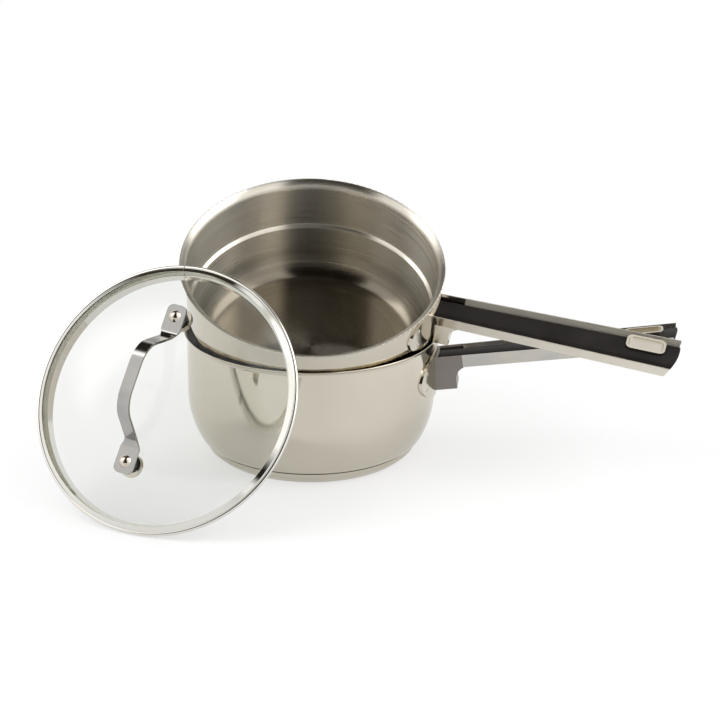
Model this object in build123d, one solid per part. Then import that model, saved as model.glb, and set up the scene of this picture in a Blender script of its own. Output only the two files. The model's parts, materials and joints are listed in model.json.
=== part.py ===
from build123d import *
import math
import os

os.makedirs("parts", exist_ok=True)

# Double boiler, photographed open: the insert pan is tipped in the mouth of the
# lower pan and the glass lid leans against the insert's lip.
# Frame: millimetres, Z up, origin on the floor at the middle of the lower pan's
# base, X along the lower pan's handle.

# Lower pan, drawn steel sheet
lower_height = 93.9
lower_wall_radius = 92.6
lower_lip_reach = 2.4
sheet = 0.8
belly_top = 46.0
bottom_level = 8.0
bottom_flat_inset = 18.6
bottom_bend = 12.0

# Lips, walls flared outward to a rounded edge
lower_flare = 60.0
insert_flare = 78.0
bead = 0.6

# Disc base
cap_sheet = 0.9
cap_foot_inset = 19.6
cap_side_inset = 13.2
cap_side_taper = 0.4
cap_side_bottom = 5.2
cap_side_top = 8.9
cap_knuckle = 3.4
core_inset = 16.6

# Insert pan, drawn steel sheet with a ledge that seats on the lower pan's lip
insert_depth = 85.0
insert_lip_reach = 5.0
insert_wall_inset = 0.6
insert_lower_inset = 3.0
ledge_top = 40.6
ledge_bottom = 43.0
ledge_fillet = 0.9
insert_corner = 18.0

# Insert pan at rest in the photograph: how far it is tipped, and which way
insert_tilt = 24.0
insert_lean = -80.4
rest_gap = 0.3

# Handles, shared by both pans. Reaches are out from the lower pan's wall.
handle_pivot_reach = 17.4
handle_end_reach = 179.4
handle_half_root = 13.0
handle_half_end = 16.1
handle_depth = 10.2
handle_taper = 2.6
handle_end_taper = 3.6
handle_wall = 1.6
handle_web = 1.3
handle_corner = 1.6
rim_flat = 0.7
rim_chamfer = 3.2
end_left_drop = 0.9
end_right_drop = 4.4
end_crest = 5.0
bracket_end_reach = 20.4
bracket_start_inset = 8.6
bracket_sheet = 1.5
bracket_reach = 14.0
bracket_curve = 9.5
bracket_curve_middle = 135.0

# Lower pan handle
lower_handle_drop = 12.8
lower_handle_rise = 8.2
lower_gusset = 26.5
lower_flange_drop = 28.0
lower_handle_turn = 0.0

# Insert pan handle
insert_handle_drop = 13.9
insert_handle_rise = 0.6
insert_gusset = 28.0
insert_flange_drop = 22.0
insert_handle_turn = -9.5

# Weld flange, a curved oval plate on the wall, with its weld dimples
flange_sheet = 1.9
flange_half_width = 39.5
flange_half_height = 18.2
dimple_radius = 1.7
dimple_height = 0.45
dimple_out_share = 0.76
dimple_up_share = 0.36

# Grip inlay
crease_depth = 1.4
bevel_width = 2.4
crown = 0.5
inlay_fit = 0.05

# Hang slot with its steel liner
slot_end_inset = 11.5
slot_length = 26.5
slot_width = 12.4
slot_shift = 4.2
slot_corner = 3.4
liner_sheet = 0.8
liner_rim = 0.8
liner_rim_height = 0.7
liner_above = 0.1
liner_below = 0.8

# Lid, with its rim plane as the local base and its domed side up
lid_overhang = 0.3
glass_inset = 2.9
glass_sheet = 4.0
dome_height = 30.0
rim_roll = 1.7
rim_sheet = 0.7
rim_cover = 2.6
rim_fit = 0.1
skirt_inset = 8.1
skirt_drop = 12.3
seam_width = 0.5
seam_angle = 95.0
rim_valley = 110.0
lid_lean = 35.0
lid_facing = -104.5
lid_shift = -54.8
lid_gap = 0.3

# Lid handle strap with its rivets
rivet_span = 105.6
strap_turn = -6.0
strap_sheet = 1.8
strap_half_width = 4.4
strap_height = 34.4
strap_top_half = 21.5
strap_foot_half = 38.5
strap_top_bend = 20.0
strap_foot_bend = 7.0
tab_half_width = 7.2
tab_reach = 8.4
tab_corner = 4.5
tab_shoulder = 43.0
strap_shoulder = 37.0
shoulder_bend = 3.0
rivet_hole_radius = 3.0
rivet_shank_radius = 2.9
rivet_head_radius = 4.3
rivet_head_height = 2.6
rivet_tail_radius = 3.9
rivet_tail_height = 1.3
gasket_radius = 6.9
gasket_sheet = 3.8
gasket_sleeve_radius = 4.6
glass_hole_radius = 4.7
washer_radius = 8.2
washer_sheet = 1.2

# Counts and steps
half = 0.5
two = 2.0
full_turn = 360.0
quarter_turn = 90.0
ring_steps = 240
solve_steps = 400
relax = 0.6
far_reach = 60.0

# Sizes that follow from the ones above
lower_lip_radius = lower_wall_radius + lower_lip_reach
bottom_flat_radius = lower_wall_radius - bottom_flat_inset
cap_foot_radius = lower_wall_radius - cap_foot_inset
cap_side_radius = lower_wall_radius - cap_side_inset
core_radius = lower_wall_radius - core_inset
insert_wall_radius = lower_wall_radius - insert_wall_inset
insert_lower_radius = lower_wall_radius - insert_lower_inset
insert_lip_radius = insert_wall_radius + insert_lip_reach
handle_pivot = lower_wall_radius + handle_pivot_reach
handle_end = lower_wall_radius + handle_end_reach
bracket_start = lower_wall_radius - bracket_start_inset
bracket_end = lower_wall_radius + bracket_end_reach
slot_end = handle_end - slot_end_inset
slot_start = slot_end - slot_length
lid_radius = insert_lip_radius + lid_overhang
glass_radius = lid_radius - glass_inset
skirt_radius = lid_radius - skirt_inset
channel_floor = handle_web - handle_depth
handle_grow = (handle_half_end - handle_half_root) / (handle_end - handle_pivot)


def unit(vector):
    size = math.sqrt(sum(value * value for value in vector))
    return tuple(value / size for value in vector)


def revolved(edges):
    return revolve(make_face(edges), Axis.Z, full_turn)


def arc_point(centre_r, centre_z, radius, degrees):
    angle = math.radians(degrees)
    return (centre_r + radius * math.cos(angle), centre_z + radius * math.sin(angle))


def flat(points):
    return [(point[0], 0, point[1]) for point in points]


def flare(lip_radius, wall_radius, top, turn):
    """Centre and outside radius of the bend that flares the wall out to the lip."""
    angle = math.radians(turn)
    middle = sheet * half
    bead_round = (middle * middle + bead * bead) / (two * bead)
    reach = (bead - bead_round) * math.sin(angle) + bead_round
    rise = (bead - bead_round) * math.cos(angle) + bead_round
    spread = lip_radius - wall_radius + middle * math.cos(angle) - reach
    radius = spread / (1 - math.cos(angle))
    level = top - rise - (radius + middle) * math.sin(angle)
    return wall_radius + radius, level, radius


def lower_bend():
    return flare(lower_lip_radius, lower_wall_radius, lower_height, lower_flare)


def insert_bend():
    return flare(insert_lip_radius, insert_wall_radius, 0, insert_flare)


def lip_edges(bend, flare_turn):
    """Flared top of a wall with its rounded edge, from inside to outside."""
    centre_r, centre_z, radius = bend
    start = full_turn * half
    end = start - flare_turn
    middle = start - flare_turn * half
    angle = math.radians(flare_turn)
    inner = radius + sheet
    inside = flat([arc_point(centre_r, centre_z, inner, turn) for turn in (start, middle, end)])
    outside = flat([arc_point(centre_r, centre_z, radius, turn) for turn in (end, middle, start)])
    edge_r, edge_z = arc_point(centre_r, centre_z, radius + sheet * half, end)
    tip = (edge_r + bead * math.sin(angle), 0, edge_z + bead * math.cos(angle))
    return [
        ThreePointArc(*inside),
        ThreePointArc(inside[2], tip, outside[0]),
        ThreePointArc(*outside),
    ]


def belly_radius():
    """Radius of the long curve that joins the wall and the bottom bend."""
    across = lower_wall_radius - bottom_flat_radius
    up = belly_top - bottom_level - bottom_bend
    return (across * across + up * up - bottom_bend * bottom_bend) / (two * (across - bottom_bend))


def lower_side(inset):
    """Wall, belly curve and bottom bend, at a depth into the sheet."""
    belly = belly_radius()
    belly_r = lower_wall_radius - belly
    bend_z = bottom_level + bottom_bend
    angle = math.degrees(math.atan2(bend_z - belly_top, bottom_flat_radius - belly_r))
    join = arc_point(bottom_flat_radius, bend_z, bottom_bend - inset, angle)
    belly_mid = arc_point(belly_r, belly_top, belly - inset, angle * half)
    bend_mid = arc_point(bottom_flat_radius, bend_z, bottom_bend - inset, (angle - quarter_turn) * half)
    top = (lower_wall_radius - inset, 0, lower_bend()[1])
    start = flat([(lower_wall_radius - inset, belly_top)])[0]
    foot = flat([(bottom_flat_radius, bottom_level + inset)])[0]
    join_point = flat([join])[0]
    edges = [
        Line(top, start),
        ThreePointArc(start, flat([belly_mid])[0], join_point),
        ThreePointArc(join_point, flat([bend_mid])[0], foot),
        Line(foot, (0, 0, bottom_level + inset)),
    ]
    return edges


def lower_pan_body():
    edges = lower_side(0)
    edges += lower_side(sheet)
    edges += lip_edges(lower_bend(), lower_flare)
    edges.append(Line((0, 0, bottom_level), (0, 0, bottom_level + sheet)))
    return revolved(edges)


def base_cap_solid(inset):
    """Dish that wraps the disc, filled up to the pan's bottom."""
    foot = cap_foot_radius
    side = cap_side_radius - inset
    low_side = side - cap_side_taper
    points = [
        (0, 0, inset),
        (foot, 0, inset),
        (low_side, 0, cap_side_bottom),
        (side, 0, cap_side_top),
        (side, 0, cap_side_top + bottom_level),
        (0, 0, cap_side_top + bottom_level),
    ]
    profile = make_face(Polyline(*points, close=True))
    corners = profile.vertices()
    knuckles = [v for v in corners if min(abs(v.X - foot), abs(v.X - low_side)) < inlay_fit]
    profile = fillet(knuckles, cap_knuckle)
    return revolve(profile, Axis.Z, full_turn)


def pan_outside():
    """Everything inside the lower pan's outer surface, to trim the base against."""
    edges = lower_side(0)
    top = lower_bend()[1]
    edges.append(Line((0, 0, bottom_level), (0, 0, top)))
    edges.append(Line((0, 0, top), (lower_wall_radius, 0, top)))
    return revolved(edges)


def lower_base_cap():
    skirt_top = Pos(0, 0, cap_side_top) * Cylinder(
        lower_lip_radius,
        far_reach,
        align=(Align.CENTER, Align.CENTER, Align.MIN),
    )
    shell = base_cap_solid(0) - base_cap_solid(cap_sheet)
    return shell - pan_outside() - skirt_top


def lower_base_core():
    blank = base_cap_solid(cap_sheet)
    disc = Cylinder(core_radius, bottom_level, align=(Align.CENTER, Align.CENTER, Align.MIN))
    return (blank & disc) - pan_outside()


def insert_side(inset):
    """Upper wall, ledge, lower wall and corner, measured down from the lip plane."""
    upper = insert_wall_radius - inset
    lower = insert_lower_radius - inset
    corner = insert_corner - inset
    floor = inset - insert_depth
    slope = math.atan2(insert_wall_radius - insert_lower_radius, ledge_bottom - ledge_top)
    shift = inset * math.tan(slope * half)
    ledge_high = shift - ledge_top
    ledge_low = shift - ledge_bottom
    upper_run = [
        (upper, 0, insert_bend()[1]),
        (upper, 0, ledge_high),
        (lower, 0, ledge_low),
        (lower, 0, floor + corner),
    ]
    corner_arc = flat([
        (lower, floor + corner),
        arc_point(lower - corner, floor + corner, corner, -quarter_turn * half),
        (lower - corner, floor),
    ])
    run = FilletPolyline(*upper_run, radius=ledge_fillet)
    return [*run.edges(), ThreePointArc(*corner_arc), Line(corner_arc[2], (0, 0, floor))]


def insert_pan_upright():
    edges = insert_side(0)
    edges += insert_side(sheet)
    edges += lip_edges(insert_bend(), insert_flare)
    edges.append(Line((0, 0, -insert_depth), (0, 0, sheet - insert_depth)))
    return revolved(edges)


# Where the insert pan comes to rest

def lean_vectors(tilt, lean):
    tip = math.radians(tilt)
    turn = math.radians(lean)
    axis = (math.sin(tip) * math.cos(turn), math.sin(tip) * math.sin(turn), math.cos(tip))
    ahead = (math.cos(tip) * math.cos(turn), math.cos(tip) * math.sin(turn), -math.sin(tip))
    return axis, ahead


def insert_gap(centre, axis):
    """Smallest gap from the insert's outside to the lower lip, ahead and behind."""
    front = far_reach
    back = far_reach
    ring, level, bend = lower_bend()
    bend += sheet
    corner_r = insert_lower_radius - insert_corner
    corner_d = insert_depth - insert_corner
    lean = math.radians(insert_lean)
    for step in range(ring_steps):
        angle = two * math.pi * step / ring_steps
        point = (ring * math.cos(angle), ring * math.sin(angle), level)
        offset = [point[i] - centre[i] for i in range(3)]
        depth = -sum(offset[i] * axis[i] for i in range(3))
        square = sum(value * value for value in offset) - depth * depth
        radial = math.sqrt(max(square, 0))
        if radial > corner_r and depth > corner_d:
            gap = math.hypot(radial - corner_r, depth - corner_d) - insert_corner
        elif radial <= corner_r and depth > corner_d:
            gap = depth - insert_depth
        elif depth > ledge_bottom:
            ledge = math.hypot(max(radial - insert_wall_radius, 0), depth - ledge_bottom)
            gap = min(radial - insert_lower_radius, ledge)
        else:
            gap = radial - insert_wall_radius
        gap -= bend
        if math.cos(angle - lean) > 0:
            front = min(front, gap)
        else:
            back = min(back, gap)
    return front, back


def insert_rest():
    axis, ahead = lean_vectors(insert_tilt, insert_lean)
    turn = math.radians(insert_lean)
    along = insert_wall_radius * (1 - math.cos(math.radians(insert_tilt)))
    level = lower_height + insert_depth * math.cos(math.radians(insert_tilt))
    for _ in range(solve_steps):
        centre = (along * math.cos(turn), along * math.sin(turn), level)
        front, back = insert_gap(centre, axis)
        along += relax * (front - rest_gap)
        level -= relax * (back - rest_gap)
    return (along * math.cos(turn), along * math.sin(turn), level), axis


def insert_location():
    centre, _ = insert_rest()
    tip = Location((0, 0, 0), (0, 0, insert_lean)) * Location((0, 0, 0), (0, insert_tilt, 0))
    back = Location((0, 0, 0), (0, 0, -insert_lean))
    return Location(centre) * tip * back


# Handles, built along X from the pan's axis with the lip plane at zero height

def half_width(along):
    return handle_half_root + handle_grow * (along - handle_pivot)


def outline(level, end, inset):
    """Plan outline of the handle at one level: straight sides and a bowed end."""
    near = half_width(bracket_end) - inset
    far = half_width(end) - inset
    left = (end - end_left_drop, far, level)
    right = (end - end_right_drop, -far, level)
    edges = [
        Line(left, (bracket_end, near, level)),
        Line((bracket_end, near, level), (bracket_end, -near, level)),
        Line((bracket_end, -near, level), right),
        ThreePointArc(right, (end, end_crest, level), left),
    ]
    face = make_face(edges)
    corners = face.vertices().sort_by(Axis.X)[2:]
    return fillet(corners, handle_corner)


def handle_block():
    """Outside of the handle: sides and end lean inward as they go down."""
    low_end = handle_end - handle_end_taper
    return loft([outline(0, handle_end, 0), outline(-handle_depth, low_end, handle_taper)])


def side_lean(level):
    return -level * handle_taper / handle_depth


def section_loft(section, start, end):
    """Solid between the same cross-section drawn at two places along the handle."""
    faces = [Plane.YZ.offset(along) * section(along) for along in (start, end)]
    return loft(faces, ruled=True)


def channel_section(along):
    """Hollow of the channel: chamfered rims over sides that lean in to the floor."""
    mouth = half_width(along) - rim_flat
    throat = mouth - rim_chamfer
    foot = half_width(along) - handle_wall - side_lean(channel_floor)
    right = [
        (mouth, sheet),
        (mouth, 0),
        (throat, -rim_chamfer),
        (foot, channel_floor),
    ]
    left = [(-y, z) for y, z in reversed(right)]
    return make_face(Polyline(*right, *left, close=True))


def inlay_section(along):
    """Grip inlay: edges under the rims' chamfers, bevels and a slightly crowned top."""
    throat = half_width(along) - rim_flat - rim_chamfer - inlay_fit
    bottom = channel_floor + inlay_fit
    foot = half_width(along) - handle_wall - side_lean(bottom) - inlay_fit
    shoulder = throat - bevel_width
    top = crown - crease_depth
    edges = [
        Line((-shoulder, -crease_depth), (-throat, -rim_chamfer)),
        Line((-throat, -rim_chamfer), (-foot, bottom)),
        Line((-foot, bottom), (foot, bottom)),
        Line((foot, bottom), (throat, -rim_chamfer)),
        Line((throat, -rim_chamfer), (shoulder, -crease_depth)),
        ThreePointArc((shoulder, -crease_depth), (0, top), (-shoulder, -crease_depth)),
    ]
    return make_face(edges)


def slot_prism(extra, bottom, top):
    length = slot_end - slot_start + two * extra
    width = slot_width + two * extra
    middle = (slot_start + slot_end) * half
    shape = RectangleRounded(length, width, slot_corner + extra)
    return extrude(Pos(middle, slot_shift, bottom) * shape, top - bottom)


def bracket_profile(depth, inset):
    """Side view of the gusset: deep at the wall, sweeping up under the handle."""
    reach = lower_wall_radius + bracket_reach - inset
    low = inset - depth
    high = inset - handle_depth
    right = bracket_end
    curve = bracket_curve + inset
    knee = flat([
        (reach, high - curve),
        arc_point(reach + curve, high - curve, curve, bracket_curve_middle),
        (reach + curve, high),
    ])
    edges = [
        Line((bracket_start, 0, 0), (bracket_start, 0, low)),
        Line((bracket_start, 0, low), (reach, 0, low)),
        Line((reach, 0, low), knee[0]),
        ThreePointArc(*knee),
        Line(knee[2], (right, 0, high)),
        Line((right, 0, high), (right, 0, 0)),
        Line((right, 0, 0), (bracket_start, 0, 0)),
    ]
    return make_face(edges)


def bracket_block(depth, inset, side):
    """Gusset solid with sides that lean with the handle, then drop straight."""
    face = bracket_profile(depth, inset)
    wide = half_width(bracket_end) + far_reach
    slab = extrude(face, wide, both=True)
    top_start = half_width(bracket_start) - side
    top_end = half_width(bracket_end) - side
    lower = depth + handle_depth
    sections = []
    for level, lean in ((0, 0), (-handle_depth, handle_taper), (-lower, handle_taper)):
        points = [
            (bracket_start, top_start - lean, level),
            (bracket_end, top_end - lean, level),
            (bracket_end, lean - top_end, level),
            (bracket_start, lean - top_start, level),
        ]
        sections.append(make_face(Polyline(*points, close=True)))
    upper = loft(sections[:2], ruled=True)
    under = loft(sections[1:], ruled=True)
    return slab & (upper + under)


def wall_drum(radius, low, high):
    drum = Cylinder(radius, high - low, align=(Align.CENTER, Align.CENTER, Align.MIN))
    return Pos(0, 0, low) * drum


def raised(shape, drop, rise):
    """Handle parts turned up by the rise about their pivot below the lip."""
    lift = Location((handle_pivot, 0, -drop), (0, -rise, 0))
    return lift * Location((-handle_pivot, 0, 0)) * shape


def shell_solid():
    hollow = section_loft(channel_section, bracket_start, handle_end + handle_depth)
    return handle_block() - hollow - slot_prism(0, -far_reach, far_reach)


def inlay_solid():
    bar = section_loft(inlay_section, bracket_start, handle_end + handle_depth)
    root = Box(
        two * (bracket_end - bracket_start),
        two * handle_half_end,
        two * handle_depth,
    )
    blank = handle_block() + Pos(bracket_end, 0, 0) * root
    return (bar & blank) - slot_prism(0, -far_reach, far_reach)


def liner_solid():
    bottom = -handle_depth - liner_below
    rim_top = liner_above + liner_rim_height
    tube = slot_prism(0, bottom, liner_above) + slot_prism(liner_rim, liner_above, rim_top)
    return tube - slot_prism(-liner_sheet, two * bottom, two * rim_top)


def bracket_solid(depth, drop, rise, hug):
    """Gusset bracket that closes on the flange's curved face."""
    outer = raised(bracket_block(depth, 0, 0), drop, rise)
    inner = raised(bracket_block(depth + bracket_sheet, bracket_sheet, bracket_sheet), drop, rise)
    tall = lower_height
    room = inner - wall_drum(hug + bracket_sheet, -tall, tall)
    above = raised(section_loft(channel_section, bracket_start, handle_end), drop, rise)
    above = above - wall_drum(hug + bracket_sheet, -tall, tall)
    return outer - room - above - wall_drum(hug, -tall, tall)


def flange_solid(wall, drop):
    """Oval plate rolled to the wall, with raised weld dimples near its ends."""
    oval = Plane.YZ * Ellipse(flange_half_width, flange_half_height)
    prism = Pos(0, 0, -drop) * extrude(oval, two * wall)
    tall = two * flange_half_height
    ring = wall_drum(wall + flange_sheet, -drop - tall, tall) - wall_drum(wall, -drop - tall, tall)
    plate = prism & ring
    for across in (-1, 1):
        for up in (-1, 1):
            sweep = across * dimple_out_share * flange_half_width / wall
            rise = up * dimple_up_share * flange_half_height
            reach = wall + flange_sheet - dimple_height
            spot = (reach * math.cos(sweep), reach * math.sin(sweep), rise - drop)
            facing = Plane(origin=spot, z_dir=(math.cos(sweep), math.sin(sweep), 0))
            dot = extrude(facing * Circle(dimple_radius), two * dimple_height, taper=far_reach * half)
            plate = plate + dot
    return plate


def handle_parts(wall, drop, rise, gusset, flange_drop):
    hug = wall + flange_sheet
    tall = lower_height
    inlay = raised(inlay_solid(), drop, rise)
    inlay = inlay - wall_drum(hug + bracket_sheet + inlay_fit, -tall, tall)
    return {
        "handle_flange": flange_solid(wall, flange_drop),
        "handle_bracket": bracket_solid(gusset, drop, rise, hug),
        "handle_shell": raised(shell_solid(), drop, rise),
        "handle_inlay": inlay,
        "slot_liner": raised(liner_solid(), drop, rise),
    }


# Lid, built with its rim plane at zero height

def dome_radius(edge, height):
    return (edge * edge + height * height) / (two * height)


def dome_level(along):
    radius = dome_radius(glass_radius, dome_height)
    return math.sqrt(radius * radius - along * along) - radius + dome_height


def under_level(along):
    radius = dome_radius(glass_radius, dome_height)
    under = radius - glass_sheet
    return math.sqrt(under * under - along * along) - radius + dome_height


def dome_solid(inset, edge):
    """Everything under the dome surface out to an edge radius."""
    radius = dome_radius(glass_radius, dome_height)
    ball = Pos(0, 0, dome_height - radius) * Sphere(radius - inset)
    drum = wall_drum(edge, -dome_height, two * dome_height)
    return ball & drum


def rivet_spots():
    turn = math.radians(strap_turn)
    reach = rivet_span * half
    return [(-reach * math.sin(turn) * side, reach * math.cos(turn) * side) for side in (1, -1)]


def lid_glass():
    shell = dome_solid(0, glass_radius) - dome_solid(glass_sheet, two * glass_radius)
    for x, y in rivet_spots():
        shell = shell - Pos(x, y, 0) * Cylinder(glass_hole_radius, two * lid_radius)
    low = wall_drum(two * glass_radius, -two * dome_height, -glass_sheet)
    return shell - low


def rim_profile():
    """Band section: cover strip on the glass edge, outer roll and inner skirt."""
    cover_r = glass_radius - rim_cover
    cover_z = dome_level(cover_r) + rim_fit
    edge_z = rim_fit
    outer = lid_radius - rim_roll
    roll_z = -rim_roll
    top = rim_sheet
    seat = -glass_sheet - rim_fit
    floor = seat - rim_sheet
    points = [
        (cover_r, 0, cover_z),
        (glass_radius, 0, edge_z),
        (glass_radius + rim_fit, 0, edge_z),
        (glass_radius + rim_fit, 0, seat),
        (skirt_radius - rim_sheet, 0, seat),
        (skirt_radius - rim_sheet, 0, -skirt_drop),
        (skirt_radius, 0, -skirt_drop),
        (skirt_radius, 0, floor),
        (outer, 0, floor),
        (outer, 0, roll_z - rim_roll),
    ]
    valley = flat([arc_point(outer, roll_z, rim_roll, rim_valley)])[0]
    roll = ThreePointArc((outer, 0, roll_z - rim_roll), (lid_radius, 0, roll_z), valley)
    closing = [
        valley,
        (glass_radius + rim_fit, 0, edge_z + top),
        (cover_r, 0, cover_z + top),
        (cover_r, 0, cover_z),
    ]
    return [*Polyline(*points).edges(), roll, *Polyline(*closing).edges()]


def lid_rim_band():
    band = revolved(rim_profile())
    slit = Pos(lid_radius, 0, 0) * Box(far_reach, seam_width, far_reach)
    return band - Rot(0, 0, seam_angle) * slit


def strap_base():
    return dome_level(rivet_span * half) + gasket_sheet


def strap_path():
    base = strap_base() + strap_sheet * half
    top = base + strap_height
    end = rivet_span * half + tab_reach
    points = [
        (0, -end, base),
        (0, -strap_foot_half, base),
        (0, -strap_top_half, top),
        (0, strap_top_half, top),
        (0, strap_foot_half, base),
        (0, end, base),
    ]
    bends = [strap_foot_bend, strap_top_bend, strap_top_bend, strap_foot_bend]
    return FilletPolyline(*points, radius=bends)


def strap_plan():
    """Strap seen from above: narrow grip that widens into rounded tabs."""
    end = rivet_span * half + tab_reach
    side = [
        (tab_half_width, end),
        (tab_half_width, tab_shoulder),
        (strap_half_width, strap_shoulder),
    ]
    right = side + [(x, -y) for x, y in reversed(side)]
    left = [(-x, -y) for x, y in right]
    plan = make_face(Polyline(*right, *left, close=True))
    corners = plan.vertices()
    ends = [v for v in corners if abs(v.Y) > end - tab_reach]
    plan = fillet(ends, tab_corner)
    bends = [v for v in plan.vertices() if tab_shoulder - tab_corner > abs(v.Y)]
    return fillet(bends, shoulder_bend)


def lid_handle_strap():
    path = strap_path()
    end = rivet_span * half + tab_reach
    start = (0, -end, strap_base() + strap_sheet * half)
    section = Plane(origin=start, x_dir=(1, 0, 0), z_dir=(0, 1, 0))
    bar = sweep(section * Rectangle(two * tab_half_width, strap_sheet), path)
    plan = extrude(strap_plan(), two * lid_radius)
    strap = bar & plan
    for side in (-1, 1):
        drill = Pos(0, side * rivet_span * half, 0) * Cylinder(rivet_hole_radius, two * lid_radius)
        strap = strap - drill
    return Rot(0, 0, strap_turn) * strap


def rivet_levels():
    spot = rivet_span * half
    under = under_level(spot + washer_radius) - washer_sheet
    return under, strap_base() + strap_sheet


def lid_rivets():
    low, high = rivet_levels()
    rivets = []
    for x, y in rivet_spots():
        shank = Pos(x, y, 0) * wall_drum(rivet_shank_radius, low - rivet_tail_height, high)
        head_radius = dome_radius(rivet_head_radius, rivet_head_height)
        ball = Pos(x, y, high + rivet_head_height - head_radius) * Sphere(head_radius)
        head = ball & (Pos(x, y, 0) * wall_drum(two * rivet_head_radius, high, high + far_reach))
        tail = Pos(x, y, 0) * wall_drum(rivet_tail_radius, low - rivet_tail_height, low)
        rivets.append(shank + head + tail)
    return Compound(children=[Solid(part.solid().wrapped) for part in rivets])


def lid_gaskets():
    """Grommet under each tab, with a sleeve through the glass."""
    _, high = rivet_levels()
    glass = dome_solid(0, glass_radius)
    parts = []
    for x, y in rivet_spots():
        top = high - strap_sheet
        under = under_level(math.hypot(x, y) + glass_hole_radius)
        flange = Pos(x, y, 0) * wall_drum(gasket_radius, 0, top)
        flange = flange - glass
        sleeve = Pos(x, y, 0) * wall_drum(gasket_sleeve_radius, under, top)
        bore = Pos(x, y, 0) * Cylinder(rivet_hole_radius, two * lid_radius)
        parts.append((flange + sleeve) - bore)
    return Compound(children=[Solid(part.solid().wrapped) for part in parts])


def lid_washers():
    """Steel washer under the glass at each rivet."""
    low, _ = rivet_levels()
    under = dome_solid(glass_sheet, glass_radius)
    parts = []
    for x, y in rivet_spots():
        top = under_level(math.hypot(x, y) - washer_radius) + rim_fit
        disc = Pos(x, y, 0) * wall_drum(washer_radius, low, top)
        disc = disc & under
        bore = Pos(x, y, 0) * wall_drum(gasket_sleeve_radius + rim_fit, low - sheet, two * top)
        cup = Pos(x, y, 0) * wall_drum(gasket_sleeve_radius + rim_fit, low, low + washer_sheet)
        hole = Pos(x, y, 0) * Cylinder(rivet_hole_radius, two * lid_radius)
        parts.append(((disc - bore) + cup) - hole)
    return Compound(children=[Solid(part.solid().wrapped) for part in parts])


# Where the lid comes to rest

def box_distance(r, w, r_low, r_high, w_low, w_high):
    across = max(r_low - r, 0, r - r_high)
    up = max(w_low - w, 0, w - w_high)
    return math.hypot(across, up)


def lid_vectors():
    rise = math.radians(lid_lean)
    turn = math.radians(lid_facing)
    normal = (math.cos(rise) * math.cos(turn), math.cos(rise) * math.sin(turn), math.sin(rise))
    side = (-math.sin(turn), math.cos(turn), 0)
    ahead = (math.cos(turn), math.sin(turn), 0)
    return normal, side, ahead


def lid_centre(distance):
    normal, side, ahead = lid_vectors()
    roll = lid_radius - rim_roll
    rise = math.radians(lid_lean)
    level = rim_roll + roll * math.cos(rise) + rim_roll * math.sin(rise)
    return (
        distance * ahead[0] + lid_shift * side[0],
        distance * ahead[1] + lid_shift * side[1],
        level,
    )


def lid_clearance(distance, centre, axis):
    """Smallest gap from the insert's lip bead to the lid's underside."""
    normal = lid_vectors()[0]
    place = lid_centre(distance)
    first = unit((axis[2], 0, -axis[0]))
    second = (
        axis[1] * first[2] - axis[2] * first[1],
        axis[2] * first[0] - axis[0] * first[2],
        axis[0] * first[1] - axis[1] * first[0],
    )
    ring = insert_lip_radius - bead
    best = two * lid_radius
    under = dome_radius(glass_radius, dome_height) - glass_sheet
    ball = dome_height - dome_radius(glass_radius, dome_height)
    for step in range(ring_steps):
        angle = two * math.pi * step / ring_steps
        point = [
            centre[i] - bead * axis[i]
            + ring * (math.cos(angle) * first[i] + math.sin(angle) * second[i])
            for i in range(3)
        ]
        offset = [point[i] - place[i] for i in range(3)]
        w = sum(offset[i] * normal[i] for i in range(3))
        r = math.sqrt(max(sum(value * value for value in offset) - w * w, 0))
        skirt = box_distance(r, w, skirt_radius - rim_sheet, skirt_radius, -skirt_drop, rim_sheet)
        rim = box_distance(r, w, skirt_radius, lid_radius, -glass_sheet - rim_sheet, rim_sheet)
        gap = min(skirt, rim)
        if r < skirt_radius:
            gap = min(gap, under - math.hypot(r, w - ball))
            if w > -skirt_drop and r > skirt_radius - rim_cover:
                gap = min(gap, -w - skirt_drop)
        best = min(best, gap - bead)
    return best


def lid_location():
    centre, axis = insert_rest()
    near = lower_lip_radius * half
    far = two * two * lower_lip_radius
    for _ in range(ring_steps):
        middle = (near + far) * half
        if lid_clearance(middle, centre, axis) < lid_gap:
            near = middle
        else:
            far = middle
    normal, side, _ = lid_vectors()
    return Plane(origin=lid_centre(far), x_dir=side, z_dir=normal).location


def save(name, shape):
    export_step(shape, "parts/" + name + ".step")


def main():
    lower_turn = Location((0, 0, lower_height), (0, 0, lower_handle_turn))
    insert_place = insert_location()
    insert_turn = insert_place * Location((0, 0, 0), (0, 0, insert_handle_turn))
    lid_place = lid_location()

    save("lower_pan_body", lower_pan_body())
    save("lower_base_core", lower_base_core())
    save("lower_base_cap", lower_base_cap())
    lower = handle_parts(
        lower_wall_radius,
        lower_handle_drop,
        lower_handle_rise,
        lower_gusset,
        lower_flange_drop,
    )
    for name, shape in lower.items():
        save("lower_" + name, lower_turn * shape)

    insert_body = insert_pan_upright()
    save("insert_pan_body", insert_place * insert_body)
    insert = handle_parts(
        insert_wall_radius,
        insert_handle_drop,
        insert_handle_rise,
        insert_gusset,
        insert_flange_drop,
    )
    insert["handle_flange"] = insert["handle_flange"] - insert_body
    for name, shape in insert.items():
        save("insert_" + name, insert_turn * shape)

    save("lid_glass", lid_place * lid_glass())
    save("lid_rim_band", lid_place * lid_rim_band())
    save("lid_handle_strap", lid_place * lid_handle_strap())
    save("lid_rivets", lid_place * lid_rivets())
    save("lid_gaskets", lid_place * lid_gaskets())
    save("lid_washers", lid_place * lid_washers())

    rest, axis = insert_rest()
    print("insert centre", rest, "axis", axis)
    print("lid place", lid_place.position, "normal", lid_vectors()[0])


main()
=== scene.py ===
"""Finishes, studio and camera for the double boiler. Every shape is the frame's own."""
import json
import math
import bpy
from mathutils import Matrix, Vector

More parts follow.
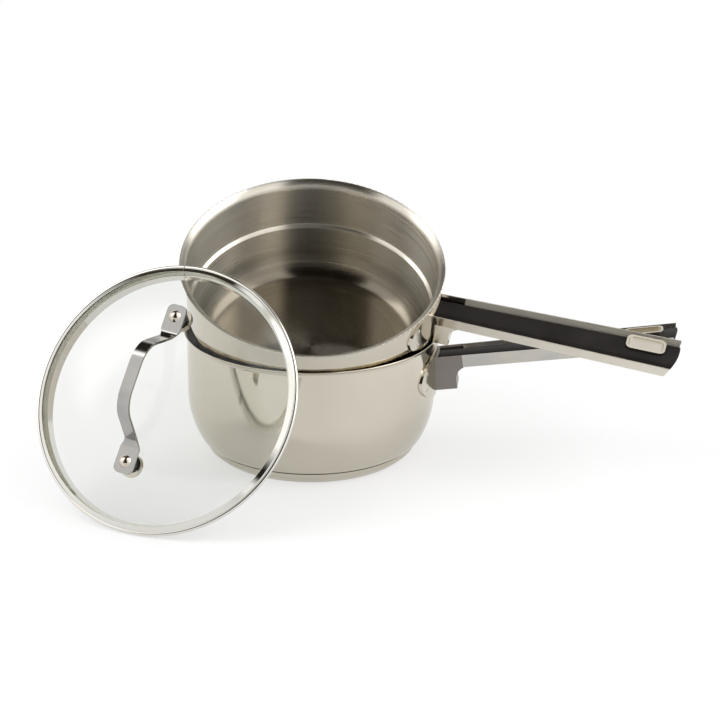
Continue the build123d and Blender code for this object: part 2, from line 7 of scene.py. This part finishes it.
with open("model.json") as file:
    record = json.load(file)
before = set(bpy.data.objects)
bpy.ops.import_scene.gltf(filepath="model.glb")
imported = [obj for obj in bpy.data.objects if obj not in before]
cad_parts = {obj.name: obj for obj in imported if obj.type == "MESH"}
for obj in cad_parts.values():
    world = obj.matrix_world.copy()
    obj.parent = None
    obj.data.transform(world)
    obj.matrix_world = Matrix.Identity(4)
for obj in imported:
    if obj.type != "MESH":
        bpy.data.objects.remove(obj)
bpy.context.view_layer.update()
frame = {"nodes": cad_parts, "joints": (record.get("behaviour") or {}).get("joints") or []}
nodes = frame["nodes"]


# How the pieces lie at rest, in metres in the row frame

# Each pan and the lid is round: the middle of its lip or rim, and its axis, along which it lifts
lift_axes = {joint["name"]: tuple(joint["axis"]) for joint in frame["joints"]}
LOWER_ROUND = ((0, 0, 0.0939), (0, 0, 1))
INSERT_ROUND = ((0.00283, -0.01674, 0.14944), lift_axes["insert_lift"])
LID_ROUND = ((-0.08801, -0.12143, 0.08099), lift_axes["lid_lift"])

# The directions in which the handles and the strap run and were brushed
LOWER_RISE = math.radians(8.2)
LOWER_RUN = (math.cos(LOWER_RISE), 0, math.sin(LOWER_RISE))
INSERT_RUN = (0.9856, -0.1588, -0.0576)
STRAP_RUN = (0.2, 0.54, 0.82)


# Colours, linear with alpha

WHITE = (1, 1, 1, 1)
STEEL = (0.67, 0.625, 0.535, 1)
STEEL_SHADE = (0.63, 0.585, 0.495, 1)
STEEL_INSIDE = (0.82, 0.78, 0.7, 1)
STEEL_DULL = (0.74, 0.7, 0.615, 1)
# Painted shade on the insert's floor: its steel darkened at the bottom of the hollow, with
# brushing marks
STEEL_FLOOR_PAINTED_SHADE = (0.2, 0.175, 0.138, 1)
STEEL_FLOOR_PAINTED_SHADE_MARK = (0.235, 0.21, 0.167, 1)
STEEL_BRIGHT = (0.8, 0.79, 0.75, 1)
# Painted shade: the lower handle's steel, darker than the same steel on the insert's handle
STEEL_PAINTED_SHADE_GREY = (0.5, 0.49, 0.475, 1)
# Painted dark reflection: the lower bracket's steel darkened where it mirrors dark surroundings
STEEL_PAINTED_DARK_REFLECTION = (0.24, 0.22, 0.2, 1)
# Painted dark reflection: the strap's steel darkened, and its haze tone darker still
STEEL_STRAP_PAINTED_DARK = (0.45, 0.44, 0.425, 1)
STEEL_STRAP_PAINTED_DARK_SHADE = (0.36, 0.355, 0.345, 1)
RIVET_WARM = (0.62, 0.55, 0.46, 1)
RIVET_PALE = (0.7, 0.63, 0.55, 1)
DISC_GREY = (0.6, 0.6, 0.6, 1)
DISC_PALE = (0.72, 0.72, 0.72, 1)
GRIP_BLACK = (0.014, 0.012, 0.011, 1)
GRIP_RUBBED = (0.024, 0.021, 0.02, 1)
GASKET_BLACK = (0.015, 0.015, 0.015, 1)
GASKET_GREY = (0.035, 0.034, 0.033, 1)
# The glass's slight tint, deepened as painted shade on what is seen through the lid
GLASS_TINT_AND_SHADE = (0.9, 0.91, 0.89, 1)


# Node trees

# Vector operations that give one number
NUMBER_RESULTS = ("DOT_PRODUCT", "LENGTH")
# Sockets of a Mix node when it mixes colours, whose names its hidden sockets share
MIX_SHARE, MIX_FIRST, MIX_SECOND, MIX_RESULT = 0, 6, 7, 2


class Tree:
    """The node tree of a material or world, with short calls for what they share.

    A call takes a socket or a plain value for each input, and returns a socket.
    """

    def __init__(self, owner, output_kind="ShaderNodeOutputMaterial"):
        owner.use_nodes = True
        self.owner = owner
        self.tree = owner.node_tree
        self.tree.nodes.clear()
        self.output = self.add(output_kind)

    def add(self, kind, **settings):
        node = self.tree.nodes.new(kind)
        for key, value in settings.items():
            setattr(node, key, value)
        return node

    def put(self, socket, value):
        if isinstance(value, bpy.types.NodeSocket):
            self.tree.links.new(value, socket)
        else:
            socket.default_value = value

    def maths(self, operation, first, second=0.0):
        node = self.add("ShaderNodeMath", operation=operation)
        self.put(node.inputs[0], first)
        self.put(node.inputs[1], second)
        return node.outputs[0]

    def vector(self, operation, first, second=(0, 0, 0)):
        node = self.add("ShaderNodeVectorMath", operation=operation)
        self.put(node.inputs[0], first)
        self.put(node.inputs[1], second)
        return node.outputs["Value" if operation in NUMBER_RESULTS else "Vector"]

    def scaled(self, vector, factor):
        node = self.add("ShaderNodeVectorMath", operation="SCALE")
        self.put(node.inputs[0], vector)
        self.put(node.inputs["Scale"], factor)
        return node.outputs["Vector"]

    def joined(self, x, y):
        node = self.add("ShaderNodeCombineXYZ")
        self.put(node.inputs["X"], x)
        self.put(node.inputs["Y"], y)
        return node.outputs["Vector"]

    def split(self, vector):
        """The three numbers of a vector."""
        node = self.add("ShaderNodeSeparateXYZ")
        self.put(node.inputs[0], vector)
        return tuple(node.outputs)

    def place(self):
        """The point on the object in the row frame, which rides with its body."""
        return self.add("ShaderNodeTexCoord").outputs["Object"]

    def spread(self, value, source, target=(0.0, 1.0)):
        """The value carried from the source range to the target range and held at its ends."""
        node = self.add("ShaderNodeMapRange")
        for socket, part in zip(node.inputs, (value, *source, *target)):
            self.put(socket, part)
        return node.outputs[0]

    def mix(self, share, first, second):
        """The first colour where the share is 0 and the second where it is 1."""
        node = self.add("ShaderNodeMix", data_type="RGBA")
        self.put(node.inputs[MIX_SHARE], share)
        self.put(node.inputs[MIX_FIRST], first)
        self.put(node.inputs[MIX_SECOND], second)
        return node.outputs[MIX_RESULT]

    def mix_shaders(self, share, first, second):
        """The first shader where the share is 0 and the second where it is 1."""
        node = self.add("ShaderNodeMixShader")
        for socket, part in zip(node.inputs, (share, first, second)):
            self.put(socket, part)
        return node.outputs[0]

    def noise(self, where, scale, detail=4.0, rough=0.55):
        node = self.add("ShaderNodeTexNoise")
        self.put(node.inputs["Vector"], where)
        self.put(node.inputs["Scale"], scale)
        self.put(node.inputs["Detail"], detail)
        self.put(node.inputs["Roughness"], rough)
        return node.outputs["Fac"]

    def lines(self, where, rough=0.55):
        """Plain noise, read at a place that is already drawn out along the brushing."""
        return self.noise(where, scale=1.0, detail=1.0, rough=rough)

    def bump(self, height, strength, distance):
        node = self.add("ShaderNodeBump")
        self.put(node.inputs["Height"], height)
        self.put(node.inputs["Strength"], strength)
        self.put(node.inputs["Distance"], distance)
        return node.outputs["Normal"]

    def surface(self, **values):
        """Ends the tree in a Principled shader. Underscores stand for spaces in its inputs."""
        shader = self.add("ShaderNodeBsdfPrincipled")
        for key, value in values.items():
            self.put(shader.inputs[key.replace("_", " ")], value)
        self.put(self.output.inputs["Surface"], shader.outputs[0])


def new_tree(name):
    return Tree(bpy.data.materials.new(name))


# Marks that the steels share

# Grain of the brushing, as changes in a metre across it and along it, and its depth
POLISHED_GRAIN = (500.0, 6.0)
BRUSHED_GRAIN = (620.0, 2.5)
BAND_GRAIN = (220.0, 2.0)
DRAWN_GRAIN = (1000.0, 20.0)
LINE_DEPTH = 0.0002
TURNED_BUMP = 0.001
DRAWN_BUMP = 0.012

# Haze of handling, and how much of the shade it brings at its thickest
PAN_HAZE = {"scale": 26.0, "detail": 5.0}
PAN_HAZE_SHARE = 0.5
HANDLE_HAZE = {"scale": 40.0}
HANDLE_HAZE_SHARE = 0.6

# The ranges of a noise, of its thick parts and of two noises multiplied that are used
NOISE_SEEN = (0.3, 0.7)
HAZE_SEEN = (0.35, 0.7)
WORN_SEEN = (0.1, 0.5)


def round_about(t, centre, axis):
    """Offset from the centre, height along the axis and the way round it."""
    offset = t.vector("SUBTRACT", t.place(), centre)
    height = t.vector("DOT_PRODUCT", offset, axis)
    around = t.vector("CROSS_PRODUCT", axis, offset)
    return offset, height, around


def ring_lines(t, offset, height, around, grain, rough=0.55):
    """Noise drawn out along circles about an axis, as brushing on a lathe leaves."""
    fine, slow = grain
    radius = t.vector("LENGTH", around)
    across = t.joined(t.maths("MULTIPLY", radius, fine), t.maths("MULTIPLY", height, fine))
    return t.lines(t.vector("ADD", across, t.scaled(offset, slow)), rough)


def straight_lines(t, where, direction, grain):
    """Noise drawn out along one direction."""
    fine, slow = grain
    along = t.scaled(direction, t.vector("DOT_PRODUCT", where, direction))
    across = t.vector("SUBTRACT", where, along)
    return t.lines(t.vector("ADD", t.scaled(across, fine), t.scaled(along, slow)))


def hazed(t, haze, tone, shade, share):
    """The tone, drifting towards the shade where the haze is thick."""
    return t.mix(t.spread(haze, HAZE_SEEN, (0.0, share)), tone, shade)


# Materials

def polished(name, round_place, rough=0.07, wear=0.05, tone=STEEL, shade=STEEL_SHADE):
    """Polished steel with faint turned lines and handling haze."""
    t = new_tree(name)
    lines = ring_lines(t, *round_about(t, *round_place), POLISHED_GRAIN)
    haze = t.noise(t.place(), **PAN_HAZE)
    worn = t.maths("MULTIPLY", lines, haze)
    t.surface(
        Base_Color=hazed(t, haze, tone, shade, PAN_HAZE_SHARE),
        Metallic=1.0,
        Roughness=t.spread(worn, WORN_SEEN, (rough, rough + wear)),
        Normal=t.bump(lines, TURNED_BUMP, LINE_DEPTH),
    )
    return t.owner


# The insert: the height of its floor about its lip, the heights between which the floor's
# brushing and its painted shade give way to the wall's, and how far from its axis a face that
# looks outwards is taken for the outside, all in metres
INSERT_FLOOR = -0.084
FLOOR_BRUSHING_ENDS = (INSERT_FLOOR, INSERT_FLOOR + 0.006)
FLOOR_PAINTED_SHADE_ENDS = (INSERT_FLOOR + 0.005, INSERT_FLOOR + 0.022)
OUTSIDE_STARTS = (0.02, 0.04)
STREAKS_SEEN = (0.12, 0.4)
FLOOR_ROUGH = 0.12
WALL_ROUGH = 0.3
STREAK_ROUGH = 0.03
OUTSIDE_ROUGH = (0.06, 0.1)


def brushed_inside(name, round_place):
    """A pan that is brushed in circles inside and polished outside.

    Its highlights spread across the brushing, and its floor is smoother than its wall and
    painted darker, as painted shade.
    """
    t = new_tree(name)
    offset, height, around = round_about(t, *round_place)
    normal = t.add("ShaderNodeNewGeometry").outputs["Normal"]
    lines = ring_lines(t, offset, height, around, BRUSHED_GRAIN, rough=0.5)
    bands = ring_lines(t, offset, height, around, BAND_GRAIN)
    haze = t.noise(t.place(), **PAN_HAZE)
    outside = t.spread(t.vector("DOT_PRODUCT", normal, offset), OUTSIDE_STARTS)

    streaks = t.spread(t.maths("MULTIPLY", lines, bands), STREAKS_SEEN)
    wall_colour = t.mix(streaks, STEEL_INSIDE, STEEL_DULL)
    # The floor's dark tone is painted shade, streaked by the brushing
    floor_shaded_colour = t.mix(streaks, STEEL_FLOOR_PAINTED_SHADE_MARK, STEEL_FLOOR_PAINTED_SHADE)
    inside_colour = t.mix(t.spread(height, FLOOR_PAINTED_SHADE_ENDS), floor_shaded_colour, wall_colour)
    outside_colour = hazed(t, haze, STEEL, STEEL_SHADE, PAN_HAZE_SHARE)

    brushed_rough = t.spread(
        t.spread(height, FLOOR_BRUSHING_ENDS), (0.0, 1.0), (FLOOR_ROUGH, WALL_ROUGH)
    )
    streak_rough = t.spread(lines, NOISE_SEEN, (-STREAK_ROUGH, STREAK_ROUGH))
    inside_rough = t.maths("ADD", brushed_rough, streak_rough)
    outside_rough = t.spread(haze, NOISE_SEEN, OUTSIDE_ROUGH)

    t.surface(
        Base_Color=t.mix(outside, inside_colour, outside_colour),
        Metallic=1.0,
        Roughness=t.spread(outside, (0.0, 1.0), (inside_rough, outside_rough)),
        Anisotropic=1.0,
        Tangent=t.vector("CROSS_PRODUCT", normal, around),
        Normal=t.bump(lines, TURNED_BUMP, LINE_DEPTH),
    )
    return t.owner


def satin(name, direction, rough=0.12, wear=0.08, tone=STEEL, shade=STEEL_SHADE):
    """Handle steel with fine lines drawn along one direction."""
    t = new_tree(name)
    where = t.place()
    lines = straight_lines(t, where, direction, DRAWN_GRAIN)
    haze = t.noise(where, **HANDLE_HAZE)
    worn = t.maths("MULTIPLY", lines, haze)
    t.surface(
        Base_Color=hazed(t, haze, tone, shade, HANDLE_HAZE_SHARE),
        Metallic=1.0,
        Roughness=t.spread(worn, WORN_SEEN, (rough, rough + wear)),
        Normal=t.bump(lines, DRAWN_BUMP, LINE_DEPTH),
    )
    return t.owner


def mottled_metal(name, scale, first, second, roughs):
    """Metal whose tone and gloss vary together, in blotches."""
    t = new_tree(name)
    blotches = t.noise(t.place(), scale)
    t.surface(
        Base_Color=t.mix(blotches, first, second),
        Metallic=1.0,
        Roughness=t.spread(blotches, NOISE_SEEN, roughs),
    )
    return t.owner


def moulded_black(name):
    """Moulded black plastic: fine grain, soft sheen and a little rubbed haze."""
    t = new_tree(name)
    grain = t.noise(t.place(), scale=2600.0, detail=3.0)
    haze = t.noise(t.place(), scale=34.0)
    t.surface(
        Base_Color=t.mix(t.spread(haze, (0.35, 0.75)), GRIP_BLACK, GRIP_RUBBED),
        Roughness=t.spread(haze, NOISE_SEEN, (0.4, 0.52)),
        Normal=t.bump(grain, strength=0.08, distance=0.0001),
        Specular_IOR_Level=0.12,
    )
    return t.owner


def rubber(name):
    """Matt black rubber with a coarse grain."""
    t = new_tree(name)
    grain = t.noise(t.place(), scale=900.0)
    t.surface(
        Base_Color=t.mix(grain, GASKET_BLACK, GASKET_GREY),
        Roughness=t.spread(grain, NOISE_SEEN, (0.5, 0.7)),
        Normal=t.bump(grain, strength=0.2, distance=0.0002),
    )
    return t.owner


def clear_glass(name):
    """Tempered glass with a slight smear in its gloss."""
    t = new_tree(name)
    smear = t.noise(t.place(), scale=18.0)
    t.surface(
        # Tint partly the glass's own, partly painted shade
        Base_Color=GLASS_TINT_AND_SHADE,
        Roughness=t.spread(smear, (0.4, 0.8), (0.0, 0.03)),
        IOR=1.45,
        Transmission_Weight=1.0,
    )
    return t.owner


LOOKS = {
    "lower_pan_body": polished("lower_pan_steel", LOWER_ROUND),
    "lower_base_core": mottled_metal(
        "base_disc", scale=300.0, first=DISC_GREY, second=DISC_PALE, roughs=(0.35, 0.5)
    ),
    "lower_base_cap": polished("base_cap_steel", LOWER_ROUND, rough=0.1),
    "lower_handle_flange": polished("lower_flange_steel", LOWER_ROUND, rough=0.12),
    # The lower bracket's dark tone is a painted dark reflection
    "lower_handle_bracket": satin(
        "lower_bracket_painted_dark", LOWER_RUN, rough=0.3, tone=STEEL_PAINTED_DARK_REFLECTION, shade=STEEL_PAINTED_DARK_REFLECTION
    ),
    # The lower handle's shell is painted shade, darker than the insert's
    "lower_handle_shell": satin(
        "lower_handle_painted_shade", LOWER_RUN, rough=0.16, tone=STEEL_PAINTED_SHADE_GREY, shade=STEEL_SHADE
    ),
    "lower_handle_inlay": moulded_black("lower_grip_black"),
    "lower_slot_liner": satin("lower_liner_steel", LOWER_RUN),
    "insert_pan_body": brushed_inside("insert_pan_steel", INSERT_ROUND),
    "insert_handle_flange": polished("insert_flange_steel", INSERT_ROUND, rough=0.12),
    "insert_handle_bracket": satin("insert_bracket_steel", INSERT_RUN),
    # The insert handle's shell is painted lighter than the steel, as a painted highlight on its
    # rim
    "insert_handle_shell": satin(
        "insert_handle_painted_light", INSERT_RUN, rough=0.42, tone=STEEL_DULL, shade=STEEL
    ),
    "insert_handle_inlay": moulded_black("insert_grip_black"),
    "insert_slot_liner": satin("insert_liner_steel", INSERT_RUN),
    "lid_glass": clear_glass("lid_clear_glass"),
    "lid_rim_band": polished(
        "lid_rim_steel", LID_ROUND, rough=0.03, wear=0.03, tone=STEEL_BRIGHT, shade=STEEL_INSIDE
    ),
    # The strap's dark tone is a painted dark reflection
    "lid_handle_strap": satin(
        "lid_strap_painted_dark", STRAP_RUN, rough=0.08, tone=STEEL_STRAP_PAINTED_DARK, shade=STEEL_STRAP_PAINTED_DARK_SHADE
    ),
    "lid_rivets": mottled_metal(
        "lid_rivet_steel", scale=260.0, first=RIVET_WARM, second=RIVET_PALE, roughs=(0.1, 0.2)
    ),
    "lid_gaskets": rubber("lid_gasket_black"),
    "lid_washers": satin("lid_washer_steel", STRAP_RUN, rough=0.14),
}
for node_name, material in LOOKS.items():
    mesh = nodes[node_name].data
    mesh.materials.clear()
    mesh.materials.append(material)


# Studio: plain light on the object, and what metal and glass see of the studio round it

PLAIN_LIGHT = 0.9
PAPER = (0.94, 0.94, 0.94, 1)
ROOM = (0.055, 0.043, 0.03, 1)

# Brightness round the studio by bearing in degrees: softboxes left and right, the dark room
# behind the camera and the dark end of the room behind the backdrop
BEARINGS = [
    (-180, 3.2), (-170, 3.0), (-160, 1.2), (-134, 1.1), (-126, 0.12), (-116, 0.02),
    (-64, 0.02), (-56, 1.3), (-38, 1.2), (-26, 1.2), (-14, 3.2), (25, 3.0),
    (35, 0.24), (46, 0.05), (72, 0.02), (138, 0.05), (152, 0.5), (170, 2.8),
]
# Tint of the dimmest parts of that round, and what full brightness adds to it
DIM_TINT = (0.93, 0.83, 0.67)
TINT_GAIN = (0.07, 0.16, 0.3)

# Parts of a ray's unit direction: y from the camera's end of the studio to the backdrop's, and
# the z at each end at which the paper stops and the round starts, and that of the ceiling
DEPTH_ENDS = (-0.8, 0.4)
PAPER_TOPS = (0.04, 0.3)
ROUND_STARTS = (0.1, 0.6)
CEILING_EDGE = (0.92, 0.97)

# A white patch overhead: its direction, and its edge as the cosine of the angle from it
OVERHEAD = (0.23, 0.33, 0.915)
OVERHEAD_EDGE = (0.965, 0.985)

# The floor lies just under the pieces. It glows white by a share that grows with the distance
# from the object, and metal sees it dimmer straight in front and behind, where x is small
FLOOR_SIDE = 14.0
FLOOR_DROP = 0.0004
GLOW_REACH = (0.22, 0.6)
GLOW_SHARES = (0.62, 1.0)
# Painted shade on the floor, seen only by metal: how far out it reaches and how deep it is
DIP_REACH = (0.06, 0.38)
DIP_DEPTHS = (0.27, 0.0)

# Square lamps: name, place, side in metres and power in watts
LAMP_AIM = (0, 0, 0.08)
LAMPS = [
    ("key", (-0.9, -0.5, 1.3), 0.8, 7.0),
    ("fill", (1.1, -0.3, 1.1), 0.7, 4.5),
]


def seen_rays(t):
    """1 where the ray is the camera's or went through glass, and 1 where it is mirrored."""
    path = t.add("ShaderNodeLightPath")
    through = path.outputs["Is Transmission Ray"]
    straight = t.maths("MAXIMUM", path.outputs["Is Camera Ray"], through)
    not_through = t.maths("SUBTRACT", 1.0, through)
    mirrored = t.maths("MULTIPLY", path.outputs["Is Glossy Ray"], not_through)
    return straight, mirrored


def studio_sides(t, x, y):
    """The colour of the studio's round at a ray's bearing."""
    ramp = t.add("ShaderNodeValToRGB")
    elements = ramp.color_ramp.elements
    while len(elements) < len(BEARINGS):
        elements.new(0.5)
    for element, (degrees, value) in zip(elements, BEARINGS):
        element.position = (degrees + 180.0) / 360.0
        tint = [dim + gain * min(value, 1.0) for dim, gain in zip(DIM_TINT, TINT_GAIN)]
        element.color = (*(value * part for part in tint), 1)
    bearing = t.maths("ARCTAN2", y, x)
    t.put(ramp.inputs[0], t.spread(bearing, (-math.pi, math.pi)))
    return ramp.outputs[0]


def studio_round(t):
    """What metal sees: white paper low down, then softboxes and dark room, then the ceiling."""
    direction = t.vector("NORMALIZE", t.add("ShaderNodeTexCoord").outputs["Generated"])
    x, y, z = t.split(direction)
    paper_top = t.spread(y, DEPTH_ENDS, PAPER_TOPS)
    round_start = t.spread(y, DEPTH_ENDS, ROUND_STARTS)
    sides = t.mix(t.spread(z, (paper_top, round_start)), WHITE, studio_sides(t, x, y))
    roofed = t.mix(t.spread(z, CEILING_EDGE), sides, ROOM)
    nearness = t.vector("DOT_PRODUCT", direction, OVERHEAD)
    return t.mix(t.spread(nearness, OVERHEAD_EDGE), roofed, WHITE)


def background(t, colour, strength=1.0):
    node = t.add("ShaderNodeBackground")
    t.put(node.inputs["Color"], colour)
    t.put(node.inputs["Strength"], strength)
    return node.outputs[0]


def build_world():
    """Plain light on the object, the studio in its reflections and white behind it."""
    world = bpy.data.worlds.new("studio")
    bpy.context.scene.world = world
    world.cycles.sampling_method = "NONE"
    t = Tree(world, "ShaderNodeOutputWorld")
    straight, mirrored = seen_rays(t)
    plain = background(t, WHITE, PLAIN_LIGHT)
    lit = t.mix_shaders(mirrored, plain, background(t, studio_round(t)))
    white = background(t, WHITE)
    t.put(t.output.inputs["Surface"], t.mix_shaders(straight, lit, white))


def studio_floor():
    """White to the camera and in reflections, with the soft shadow kept in it."""
    t = new_tree("studio_floor")
    t.owner.cycles.emission_sampling = "NONE"
    straight, mirrored = seen_rays(t)
    where = t.place()
    sideways = t.maths("ABSOLUTE", t.split(where)[0])
    # Painted shade: the floor's glow lowered in reflections straight in front and behind
    painted_shade_dip = t.maths("MULTIPLY", mirrored, t.spread(sideways, DIP_REACH, DIP_DEPTHS))
    paper = t.add("ShaderNodeBsdfDiffuse")
    t.put(paper.inputs["Color"], PAPER)
    glow = t.add("ShaderNodeEmission")
    t.put(glow.inputs["Strength"], t.maths("SUBTRACT", 1.0, painted_shade_dip))
    glow_share = t.spread(t.vector("LENGTH", where), GLOW_REACH, GLOW_SHARES)
    share = t.maths("MULTIPLY", t.maths("MAXIMUM", straight, mirrored), glow_share)
    mixed = t.mix_shaders(share, paper.outputs[0], glow.outputs[0])
    t.put(t.output.inputs["Surface"], mixed)
    return t.owner


def build_floor():
    half = FLOOR_SIDE / 2
    corners = [(-half, -half, 0), (half, -half, 0), (half, half, 0), (-half, half, 0)]
    mesh = bpy.data.meshes.new("floor")
    mesh.from_pydata(corners, [], [(0, 1, 2, 3)])
    mesh.materials.append(studio_floor())
    floor = bpy.data.objects.new("floor", mesh)
    floor.location = (0, 0, -FLOOR_DROP)
    bpy.context.scene.collection.objects.link(floor)


def build_lamp(name, place, side, power):
    """A square lamp that lights the object but shows in none of its reflections."""
    light = bpy.data.lights.new(name, "AREA")
    light.shape = "RECTANGLE"
    light.size = light.size_y = side
    light.energy = power
    lamp = bpy.data.objects.new(name, light)
    lamp.location = place
    lamp.rotation_mode = "QUATERNION"
    lamp.rotation_quaternion = (Vector(LAMP_AIM) - Vector(place)).to_track_quat("-Z", "Y")
    lamp.visible_glossy = False
    lamp.visible_transmission = False
    bpy.context.scene.collection.objects.link(lamp)


build_world()
build_floor()
for lamp_row in LAMPS:
    build_lamp(*lamp_row)


# Camera at the photograph's viewpoint, which was fitted to the outlines. It stands in front at
# an elevation, looks down by its dip and sideways by its yaw, is rolled about its view, and is
# turned about the upright with all of that

SENSOR = 36.0
PHOTO_SIDE = 720.0
FOCAL_PIXELS = 1989.08
DISTANCE = 1.5
AIM_HEIGHT = 0.05
ELEVATION = math.radians(21.396)
DIP = ELEVATION - math.radians(0.6436)
YAW = math.radians(1.4938)
ROLL = math.radians(0.5988)
TURN = math.radians(7.0)


def build_camera():
    ahead = Vector((
        math.sin(YAW) * math.cos(DIP), math.cos(YAW) * math.cos(DIP), -math.sin(DIP),
    ))
    level_right = Vector((math.cos(YAW), -math.sin(YAW), 0))
    level_above = level_right.cross(ahead)
    right = math.cos(ROLL) * level_right + math.sin(ROLL) * level_above
    above = -math.sin(ROLL) * level_right + math.cos(ROLL) * level_above
    place = Vector((
        0, -DISTANCE * math.cos(ELEVATION), DISTANCE * math.sin(ELEVATION) + AIM_HEIGHT,
    ))
    turn = Matrix.Rotation(TURN, 3, "Z")
    data = bpy.data.cameras.new("camera")
    data.sensor_width = SENSOR
    data.lens = SENSOR * FOCAL_PIXELS / PHOTO_SIDE
    camera = bpy.data.objects.new("camera", data)
    camera.rotation_mode = "QUATERNION"
    axes = Matrix((turn @ right, turn @ above, turn @ -ahead)).transposed()
    camera.rotation_quaternion = axes.to_quaternion()
    camera.location = turn @ place
    bpy.context.scene.collection.objects.link(camera)
    bpy.context.scene.camera = camera


build_camera()
bpy.context.scene.view_settings.view_transform = "Standard"
